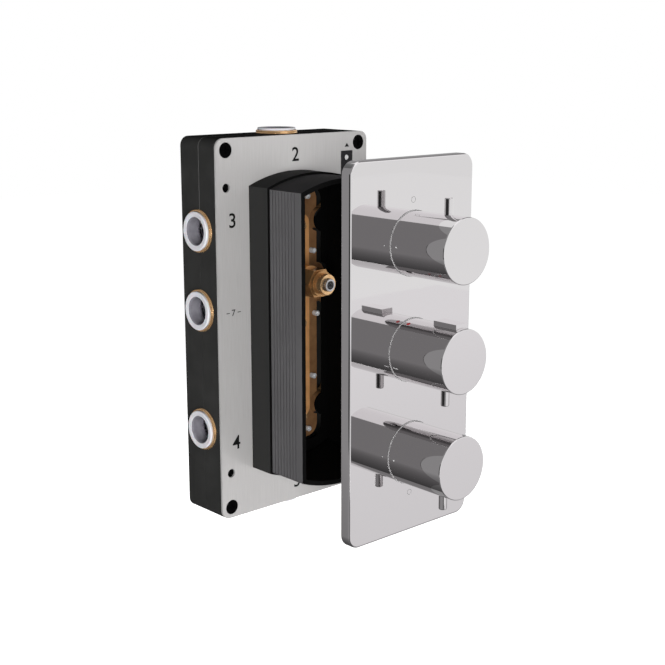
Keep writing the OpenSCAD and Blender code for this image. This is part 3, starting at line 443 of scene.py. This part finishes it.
def pour(target, bm):
    """Adds one bmesh to another that holds several of a kind, and frees it."""
    single = bpy.data.meshes.new("One of several")
    bm.to_mesh(single)
    bm.free()
    target.from_mesh(single)
    bpy.data.meshes.remove(single)


STRIP_X, DOT_Y = 62.3 * MM, 0.42 * MM - BOX_DEPTH
DOT_RADIUS, DOT_THICK = 2.3 * MM, 0.36 * MM
dots = bmesh.new()
for dot_z in (144.8, 135.8, 126.8):
    dot = bmesh.new()
    bmesh.ops.create_cone(dot, cap_ends=True, segments=40, radius1=DOT_RADIUS, radius2=DOT_RADIUS,
                          depth=DOT_THICK)
    break_edges(dot, DOT_THICK * 0.35)
    bmesh.ops.transform(dot, matrix=facing_out(STRIP_X, DOT_Y, dot_z * MM), verts=dot.verts)
    pour(dots, dot)
make_piece("strip_dots", dots, "rough_box", [dot_white])

# Black marks are screen printed on the plate: a number at each outlet and inlet, and a pointer
# for the way up. The ink is a flat film a few hundredths of a millimetre thick.
INK_Y = -BOX_DEPTH - 0.04 * MM
ink = finish("Screen ink", (0.006, 0.006, 0.006), 0.0, 0.5, 0.1)
relief(ink, noise_of(ink, 3000.0), 0.000005, 0.3)


def face_room(bm):
    """Turns over the faces that look at the wall."""
    for face in bm.faces:
        face.normal_update()
        if face.normal.y > 0:
            face.normal_flip()


def printed(name, words, x, z, height, widen=1.0):
    """Plain numbers printed on the plate, centred on a point."""
    letters = bpy.data.curves.new(name, "FONT")
    letters.body = words
    letters.size = 1.0
    letters.offset = 0.012
    letters.align_x = "CENTER"
    writer = bpy.data.objects.new(name, letters)
    scene.collection.objects.link(writer)
    bpy.context.view_layer.update()
    drawn = writer.evaluated_get(bpy.context.evaluated_depsgraph_get())
    flat = bpy.data.meshes.new_from_object(drawn)
    bpy.data.objects.remove(writer)
    bm = bmesh.new()
    bm.from_mesh(flat)
    bmesh.ops.remove_doubles(bm, verts=bm.verts, dist=1e-5)
    low = Vector([min(v.co[i] for v in bm.verts) for i in range(3)])
    high = Vector([max(v.co[i] for v in bm.verts) for i in range(3)])
    size = height * MM / (high.y - low.y)
    middle = (low + high) / 2
    bmesh.ops.translate(bm, verts=bm.verts, vec=-middle)
    bmesh.ops.scale(bm, verts=bm.verts, vec=(size * widen, size, 1.0))
    bmesh.ops.transform(bm, matrix=facing_out(x * MM, INK_Y, z * MM), verts=bm.verts)
    face_room(bm)
    return make_piece(name, bm, "rough_box", [ink], weighted=False)


for mark, mark_x, mark_z, mark_height in (
        ("3", -70.6, 98.4, 12.7), ("2", 0.7, 151.0, 12.4), ("1", 70.6, 98.4, 12.7),
        ("6", 70.4, -98.8, 12.7), ("5", 0.0, -151.0, 12.4), ("4", -70.3, -98.8, 12.7)):
    printed("outlet_mark_" + mark, mark, mark_x, mark_z, mark_height)
INLET_MARK_Z = 18.4
for mark, mark_x in (("7", -70.9), ("8", 70.9)):
    printed("inlet_mark_" + mark, mark, mark_x, INLET_MARK_Z, 5.6, 1.1)
    bars = bmesh.new()
    for aside in (-6.0, 6.0):
        bar = bmesh.ops.create_grid(bars, x_segments=1, y_segments=1, size=0.5)["verts"]
        bmesh.ops.scale(bars, verts=bar, vec=(3.6 * MM, 0.7 * MM, 1.0))
        bar_place = facing_out((mark_x + aside) * MM, INK_Y, INLET_MARK_Z * MM)
        bmesh.ops.transform(bars, matrix=bar_place, verts=bar)
    make_piece("inlet_bars_" + mark, bars, "rough_box", [ink], weighted=False)
pointer = bmesh.new()
pointer.faces.new([pointer.verts.new((x * MM, INK_Y, z * MM))
                   for x, z in ((59.6, 154.4), (65.2, 154.4), (62.4, 157.8))])
make_piece("way_up_pointer", pointer, "rough_box", [ink], weighted=False)

# The plaster guard is two mouldings: a smooth collar clipped into the box, and a ribbed sleeve
# that stands in it and is cut off level with the tiles. Its inside, the collar's front step, the
# groove floors and the top and bottom ends are painted darker as shade.
collar_black = finish("Collar plastic", (0.026, 0.026, 0.0255), 0.0, 0.5, 0.03)
relief(collar_black, noise_of(collar_black, 2000.0, detail=5.0), 0.00003, 0.5)
collar_ends_shade = finish("Collar ends painted shade", (0.012, 0.012, 0.0118), 0.0, 0.55, 0.02)
relief(collar_ends_shade, noise_of(collar_ends_shade, 2000.0), 0.00003, 0.4)
sleeve_grey = finish("Sleeve plastic", (0.085, 0.083, 0.086), 0.0, 0.5, 0.02)
vary_colour(sleeve_grey, noise_of(sleeve_grey, 20.0), (0.080, 0.078, 0.081), (0.090, 0.088, 0.091))
relief(sleeve_grey, noise_of(sleeve_grey, 2000.0, detail=5.0), 0.00003, 0.5)
groove_shade_grey = finish("Sleeve groove painted shade", (0.052, 0.050, 0.052), 0.0, 0.55, 0.02)
relief(groove_shade_grey, noise_of(groove_shade_grey, 2000.0), 0.00003, 0.4)
sleeve_ends_shade = finish("Sleeve ends painted shade", (0.022, 0.021, 0.022), 0.0, 0.55, 0.02)
relief(sleeve_ends_shade, noise_of(sleeve_ends_shade, 2000.0), 0.00003, 0.4)
rim_dark = finish("Sleeve rim", (0.004, 0.004, 0.004), 0.0, 0.55, 0.02)
relief(rim_dark, noise_of(rim_dark, 1500.0), 0.00003, 0.4)
GUARD_HALF_X, GUARD_HALF_Z = 52 * MM, 137 * MM
GROOVE_X = 49.3 * MM
SLEEVE_FRONT = -BOX_DEPTH - 65 * MM


def inside_guard(face):
    """Faces that look into the guard's well."""
    c = face.calc_center_median()
    n = face.normal
    outward = n.x * c.x / GUARD_HALF_X + n.z * c.z / GUARD_HALF_Z
    return 1 if abs(n.y) < 0.5 and outward < -0.1 else 0


def sleeve_faces(face):
    """Ribbed sides, the inside painted near black as shade, black front rim, and groove floors and
    smooth ends painted darker as shade.
    """
    c = face.calc_center_median()
    n = face.normal
    if abs(n.x) > 0.9 and abs(abs(c.x) - GROOVE_X) < 0.3 * MM and n.x * c.x > 0:
        return 3
    if abs(n.z) > 0.6 and n.z * c.z > 0 and inside_guard(face) == 0:
        return 4
    return 2 if n.y < -0.9 and c.y < SLEEVE_FRONT else inside_guard(face)


def collar_faces(face):
    """Smooth sides; the front step and inside painted near black as shade, and the collar's ends
    painted darker as shade.
    """
    if face.normal.y < -0.9 or inside_guard(face):
        return 1
    return 2 if abs(face.normal.z) > 0.6 else 0


soften("guard_collar", 0.0004, [collar_black, shade_black, collar_ends_shade], tint=collar_faces)
soften("guard_sleeve", 0.00035, [sleeve_grey, shade_black, rim_dark, groove_shade_grey, sleeve_ends_shade],
       tint=sleeve_faces)

# The waterway is sand-cast brass, shot blasted, with machined faces: a flanged cover over the
# body, and a boss for the isolating valve. The flange behind the raised middle and the body are
# painted darker as shade; the broken edges catch the light.
cast_brass = finish("Cast brass", (0.80, 0.41, 0.16), 0.2, 0.42)
cloud = noise_of(cast_brass, 90.0, detail=5.0)
vary_colour(cast_brass, cloud, (0.70, 0.34, 0.125), (0.90, 0.46, 0.18), 0.3, 0.7)
vary_shine(cast_brass, cloud, 0.36, 0.5)
relief(cast_brass, noise_of(cast_brass, 1400.0, detail=6.0), 0.00006, 0.45)
flange_brass_shade = finish("Flange brass painted shade", (0.34, 0.18, 0.08), 0.35, 0.5)
vary_colour(flange_brass_shade, noise_of(flange_brass_shade, 120.0, detail=5.0),
            (0.29, 0.145, 0.065), (0.40, 0.21, 0.095), 0.3, 0.7)
relief(flange_brass_shade, noise_of(flange_brass_shade, 1400.0, detail=6.0), 0.00006, 0.5)
turned_brass = finish("Turned brass", (0.85, 0.54, 0.28), 0.85, 0.22)
vary_colour(turned_brass, noise_of(turned_brass, 150.0),
            (0.78, 0.47, 0.22), (0.92, 0.61, 0.33), 0.3, 0.7)
relief(turned_brass, noise_of(turned_brass, 1100.0, (0.2, 3.0, 0.2)), 0.00001, 0.35)
FLANGE_Y = 19.5 * MM - BOX_DEPTH


def cover_faces(face):
    """Raised middle and bosses are bright, the flange behind them is painted darker as shade."""
    return 1 if face.calc_center_median().y > FLANGE_Y else 0


soften("manifold_cover", 0.0007, [cast_brass, flange_brass_shade], tint=cover_faces)
dress(flange_brass_shade, "manifold_body")
bonnet_brass = finish("Bonnet brass", (0.50, 0.28, 0.12), 0.8, 0.26)
vary_colour(bonnet_brass, noise_of(bonnet_brass, 200.0),
            (0.44, 0.24, 0.10), (0.56, 0.32, 0.14), 0.3, 0.7)
soften("isolator_bonnet", 0.0006, [bonnet_brass])
soften("gland_nut", 0.0006, [turned_brass])
soften("cartridge_nuts", 0.0005, [turned_brass])
dress(turned_brass, "thermostat_body", "thermostat_spindle", "top_valve_body", "top_valve_spindle",
      "bottom_valve_body", "bottom_valve_spindle")

# The isolating valve's spindle is stainless, splined for a key, with a tapped hole in its end. A
# dark ring round the hole is painted shade.
spindle_steel = finish("Stainless spindle", (0.62, 0.62, 0.64), 0.95, 0.2)
vary_shine(spindle_steel, noise_of(spindle_steel, 300.0, (1.0, 0.1, 1.0)), 0.2, 0.34)
spindle_hole_shade = finish("Painted shade round spindle hole", (0.05, 0.05, 0.052), 0.9, 0.35)
vary_shine(spindle_hole_shade, noise_of(spindle_hole_shade, 300.0), 0.3, 0.42)
soften("isolator_spindle", 0.0002, [spindle_steel])
SPINDLE_END = (0, -96.53 * MM, 40 * MM)


def flat_ring(radius, hole, place):
    """A flat ring that faces the room at a point; hole is a share of the radius."""
    bm = bmesh.new()
    bmesh.ops.create_circle(bm, cap_ends=False, segments=48, radius=radius)
    grown = bmesh.ops.extrude_edge_only(bm, edges=list(bm.edges))["geom"]
    inner = [g for g in grown if isinstance(g, bmesh.types.BMVert)]
    bmesh.ops.scale(bm, verts=inner, vec=(hole, hole, 1.0))
    bmesh.ops.transform(bm, matrix=facing_out(*place), verts=bm.verts)
    face_room(bm)
    return bm


make_piece("spindle_hole_shade_ring", flat_ring(3.8 * MM, 0.47, SPINDLE_END), "isolator", [spindle_hole_shade],
           weighted=False)

# Ten zinc-plated socket screws hold the cover to the body, each with a rounded head.
zinc = finish("Zinc plate", (0.88, 0.89, 0.90), 0.4, 0.25)
vary_colour(zinc, noise_of(zinc, 600.0), (0.80, 0.81, 0.83), (0.94, 0.95, 0.96), 0.35, 0.65)
soften("manifold_screws", 0.0006, [zinc], steps=3)

# Gasket and pipe seals are black rubber, moulded and left as they come.
rubber = finish("Seal rubber", (0.012, 0.012, 0.012), 0.0, 0.6)
relief(rubber, noise_of(rubber, 1600.0), 0.00003, 0.4)
dress(rubber, "manifold_gasket", "pipe_seals")

# Eight push-fit sockets are turned from brass bar. Each mouth is rolled to a double bead that
# stands just proud of the box; the bore behind the collet is painted dull dark grey as shade.
bore_shade_grey = finish("Socket bore painted shade", (0.20, 0.19, 0.22), 0.0, 0.5)
relief(bore_shade_grey, noise_of(bore_shade_grey, 900.0), 0.00002, 0.3)
PORTS = (("1", -87, 88.5, -90), ("2", 0, 168, 0), ("3", 87, 88.5, 90), ("4", 87, -88.5, 90),
         ("5", 0, -168, 180), ("6", -87, -88.5, -90), ("hot", -87, 19, -90), ("cold", 87, 19, 90))


def at_port(x, z, turn):
    """From a socket's own axis, outwards along +Z, to its place on the box."""
    face_out = Matrix.Rotation(math.radians(turn), 4, "Y")
    return Matrix.Translation((x * MM, -SEAM_Y, z * MM)) @ face_out


def turned(profile, steps=96):
    """A round part turned from a closed profile of (radius, height) in millimetres."""
    bm = bmesh.new()
    points = [bm.verts.new((r * MM, 0, s * MM)) for r, s in profile]
    edges = [bm.edges.new((points[i], points[(i + 1) % len(points)])) for i in range(len(points))]
    bmesh.ops.spin(bm, geom=points + edges, cent=(0, 0, 0), axis=(0, 0, 1), dvec=(0, 0, 0),
                   angle=2 * math.pi, steps=steps, use_merge=True, use_duplicate=False)
    bmesh.ops.remove_doubles(bm, verts=bm.verts, dist=1e-7)
    bmesh.ops.recalc_face_normals(bm, faces=bm.faces)
    return bm


def arc(r, s, radius, start, end, count=5):
    """Points of a round corner, in a profile."""
    angles = [math.radians(start + (end - start) * i / count) for i in range(count + 1)]
    return [(r + radius * math.cos(a), s + radius * math.sin(a)) for a in angles]


SHELL = [(12.5, -32), (12.5, -24), (17.2, -24), (17.7, -23.5), (17.7, 0.04), (18.0, 0.04)]
BEADS = arc(18.0, 0.78, 0.74, -90, 62, 6) + arc(17.72, 2.28, 0.76, -48, 90, 6)
BORE = [(17.35, 3.04), (17.15, 2.85), (17.15, 1.4), (16.2, 1.3), (16.1, 1.2), (16.1, -3.0),
        (12.9, -3.0), (12.9, -7.2), (14.5, -7.2), (14.5, -10.5), (12.0, -10.5), (12.0, -11.4),
        (13.6, -11.4), (13.6, -14.2), (11.1, -14.2), (11.1, -22.0), (8.0, -22.0), (8.0, -24.2),
        (9.6, -24.2), (9.6, -32)]
INNER_R, INNER_END = 15.9 * MM, -23.9 * MM
sockets = bmesh.new()
for port, port_x, port_z, port_turn in PORTS:
    one = turned(SHELL + BEADS + BORE)
    for face in one.faces:
        c = face.calc_center_median()
        face.material_index = 1 if math.hypot(c.x, c.y) < INNER_R and c.z > INNER_END else 0
    bmesh.ops.transform(one, matrix=at_port(port_x, port_z, port_turn), verts=one.verts)
    pour(sockets, one)
make_piece("port_sockets_finished", sockets, "rough_box", [turned_brass, bore_shade_grey],
           ("port_sockets",))

# The collets are white acetal, injection moulded, with a rounded flange to press on and a funnel
# that leads the pipe in. Inside they slide on the pipe's outside.
acetal = finish("White acetal", (0.60, 0.60, 0.63), 0.0, 0.33)
vary_colour(acetal, noise_of(acetal, 60.0), (0.575, 0.575, 0.605), (0.625, 0.625, 0.655), 0.3, 0.7)
acetal_shader = acetal.node_tree.nodes["Principled BSDF"]
acetal_shader.inputs["Subsurface Weight"].default_value = 0.08
acetal_shader.inputs["Subsurface Scale"].default_value = 0.001
# The funnel's inside is painted grey as the shade inside the white collet.
acetal_shade = finish("Acetal painted shade", (0.16, 0.155, 0.175), 0.0, 0.5, 0.2)
vary_colour(acetal_shade, noise_of(acetal_shade, 200.0),
            (0.14, 0.135, 0.155), (0.18, 0.175, 0.195), 0.3, 0.7)
BARREL = [(11.25, -5.5), (12.7, -5.5), (12.7, -1.2), (15.8, -1.2), (15.8, 3.2), (16.5, 3.2)]
BUTTON = arc(16.4, 3.8, 0.6, -80, 0, 3) + arc(16.2, 4.4, 0.8, 0, 90) + [
    (15.2, 5.2), (14.6, 4.95), (13.4, 4.9)]
FUNNEL = arc(12.9, 4.4, 0.5, 80, 150, 3) + [(11.6, 3.7), (11.25, 2.9)]
FUNNEL_R = 12.2 * MM
for port, port_x, port_z, port_turn in PORTS:
    ring = turned(BARREL + BUTTON + FUNNEL)
    for face in ring.faces:
        face.material_index = 1 if math.hypot(*face.calc_center_median().xy) < FUNNEL_R else 0
    bmesh.ops.transform(ring, matrix=at_port(port_x, port_z, port_turn), verts=ring.verts)
    collet = "collet_" + port
    make_piece(collet + "_finished", ring, collet + "_ring", [acetal, acetal_shade],
               (collet,))

# Behind each collet a toothed spring ring grips the pipe; strainers and springs are the same
# stainless, stamped or wound. The check valves are natural acetal.
spring_steel = finish("Spring steel", (0.55, 0.55, 0.57), 1.0, 0.25)
vary_shine(spring_steel, noise_of(spring_steel, 400.0), 0.2, 0.34)
dress(spring_steel, "grab_rings", "inlet_strainers", "hot_check_spring", "cold_check_spring",
      "return_spring", "button_spring")
natural_acetal = finish("Natural acetal", (0.72, 0.72, 0.68), 0.0, 0.38)
vary_colour(natural_acetal, noise_of(natural_acetal, 80.0),
            (0.68, 0.68, 0.64), (0.76, 0.76, 0.72), 0.3, 0.7)
dress(natural_acetal, "check_cages", "hot_check_poppet", "cold_check_poppet")

# Inside the cartridges: a copper wax cup and a stainless spool in the middle one, and pairs of
# lapped ceramic discs in the outer two.
copper_cup = finish("Copper cup", (0.60, 0.30, 0.16), 1.0, 0.3)
vary_shine(copper_cup, noise_of(copper_cup, 200.0), 0.22, 0.4)
dress(copper_cup, "wax_element")
spool_steel = finish("Spool steel", (0.42, 0.42, 0.43), 1.0, 0.3)
vary_shine(spool_steel, noise_of(spool_steel, 260.0), 0.24, 0.38)
dress(spool_steel, "regulating_spool")
ceramic = finish("Lapped ceramic", (0.86, 0.85, 0.81), 0.0, 0.16)
vary_colour(ceramic, noise_of(ceramic, 120.0), (0.83, 0.82, 0.78), (0.88, 0.87, 0.83), 0.3, 0.7)
dress(ceramic, "top_fixed_disc", "top_moving_disc", "bottom_fixed_disc", "bottom_moving_disc")

# The cover plate is pressed and polished brass, chrome plated: a shallow tray whose front is a
# true mirror with a small radius round its edge. Two faint rings are etched above and below.
chrome = finish("Polished chrome", (0.67, 0.655, 0.66), 1.0, 0.025)
vary_shine(chrome, noise_of(chrome, 45.0), 0.015, 0.04)
tray_inside = finish("Unpolished tray", (0.30, 0.30, 0.30), 1.0, 0.42)
vary_shine(tray_inside, noise_of(tray_inside, 220.0), 0.36, 0.5)
COVER_FRONT = -BOX_DEPTH - 146 * MM
TRAY_HALF_X, TRAY_HALF_Z = 68 * MM, 155 * MM


def tray_faces(face):
    """Front and sides are polished, the hollow back is not."""
    c = face.calc_center_median()
    hollow = abs(c.x) < TRAY_HALF_X and abs(c.z) < TRAY_HALF_Z
    return 1 if hollow and c.y > COVER_FRONT + 1 * MM else 0


soften("cover_plate", 0.0006, [chrome, tray_inside], rim=0.0016, tint=tray_faces)
etched = finish("Etched mark", (0.30, 0.30, 0.30), 0.6, 0.5)
relief(etched, noise_of(etched, 2500.0), 0.000005, 0.3)
rings = bmesh.new()
for ring_z in (123.3, -123.0):
    ring_place = (-0.8 * MM, COVER_FRONT - 0.03 * MM, ring_z * MM)
    pour(rings, flat_ring(2.5 * MM, 2.15 / 2.5, ring_place))
make_piece("cover_rings", rings, "trim", [etched], weighted=False)

# A strip of grey closed-cell foam seals the tray against the tiles, and acetal bushes with a
# flange carry the three spindle extensions.
foam = finish("Closed-cell foam", (0.11, 0.11, 0.115), 0.0, 0.85, 0.2)
cells = foam.node_tree.nodes.new("ShaderNodeTexVoronoi")
cells.inputs["Scale"].default_value = 1400.0
cell_place = foam.node_tree.nodes.new("ShaderNodeTexCoord")
foam.node_tree.links.new(cell_place.outputs["Object"], cells.inputs["Vector"])
relief(foam, cells.outputs["Distance"], 0.00015, 0.8)
dress(foam, "cover_seal")
dress(natural_acetal, "guide_bushes")
dress(spindle_steel, "top_extension", "temperature_extension", "bottom_extension")

# Three chrome knobs are turned and drilled for their pins. A thin line is left between knob and
# cover. Round pins serve as handles; the middle knob has a button that frees the hot stop.
for control in CONTROLS:
    soften(control + "_knob", 0.0003, [chrome], rim=0.0009)
    soften(control + "_lever_pin", 0.0004, [chrome], steps=3)
soften("safety_button", 0.0004, [chrome])

# Under each knob lies a thin white slip ring, which shows as a light line round the knob's foot.
slip_white = finish("Slip ring", (0.28, 0.275, 0.277), 0.0, 0.4)
vary_colour(slip_white, noise_of(slip_white, 300.0), (0.26, 0.255, 0.257), (0.30, 0.295, 0.297))
SLIP = [(22.5, 0.03), (27.0, 0.03), (27.1, 0.1), (27.1, 0.3), (27.0, 0.37), (22.5, 0.37)]
for control, height in CONTROLS.items():
    slip = turned(SLIP)
    bmesh.ops.transform(slip, matrix=facing_out(0, COVER_FRONT, height), verts=slip.verts)
    make_piece(control + "_slip_ring", slip, "trim", [slip_white])

# Small filled dots mark the knobs: a red one left of the middle knob's top for the set
# temperature, and white ones at the side of the outer knobs, with a short white line below.
red_ink = finish("Red enamel", (0.42, 0.006, 0.012), 0.0, 0.35)
vary_colour(red_ink, noise_of(red_ink, 500.0), (0.36, 0.004, 0.010), (0.46, 0.008, 0.014))
white_ink = finish("White enamel", (0.50, 0.50, 0.50), 0.0, 0.4)
vary_colour(white_ink, noise_of(white_ink, 500.0), (0.47, 0.47, 0.47), (0.53, 0.53, 0.53))
KNOB_R = 26.5 * MM
FILM = 0.04 * MM


def on_knob(control, around, depth):
    """From flat on the table to the side of a knob: around is counted from its top, leftwards."""
    a = math.radians(around)
    out = Vector((-math.sin(a), 0, math.cos(a)))
    up = Vector((0, 1, 0))
    turn = Matrix((up.cross(out), up, out)).transposed().to_4x4()
    centre = out * (KNOB_R + FILM) + Vector((0, depth * MM - BOX_DEPTH, CONTROLS[control]))
    return Matrix.Translation(centre) @ turn


for dot_name, control, around, depth, radius, made in (
        ("temperature_dot", "temperature", 24, -152, 1.75, red_ink),
        ("top_dot", "top", 90, -152.6, 0.7, white_ink),
        ("bottom_dot", "bottom", 90, -152.6, 0.7, white_ink)):
    spot = bmesh.new()
    bmesh.ops.create_cone(spot, cap_ends=True, segments=32, radius1=radius * MM,
                          radius2=radius * 0.85 * MM, depth=3 * FILM)
    bmesh.ops.transform(spot, matrix=on_knob(control, around, depth), verts=spot.verts)
    make_piece(dot_name, spot, control + "_control", [made])
dash = bmesh.new()
bmesh.ops.create_cube(dash, size=1.0)
bmesh.ops.scale(dash, verts=dash.verts, vec=(0.8 * MM, 5.0 * MM, 3 * FILM))
bmesh.ops.bevel(dash, geom=list(dash.edges), offset=FILM, segments=1, affect="EDGES",
                profile=0.5, material=-1)
bmesh.ops.transform(dash, matrix=on_knob("temperature", 114.5, -151), verts=dash.verts)
make_piece("temperature_line", dash, "temperature_control", [white_ink])
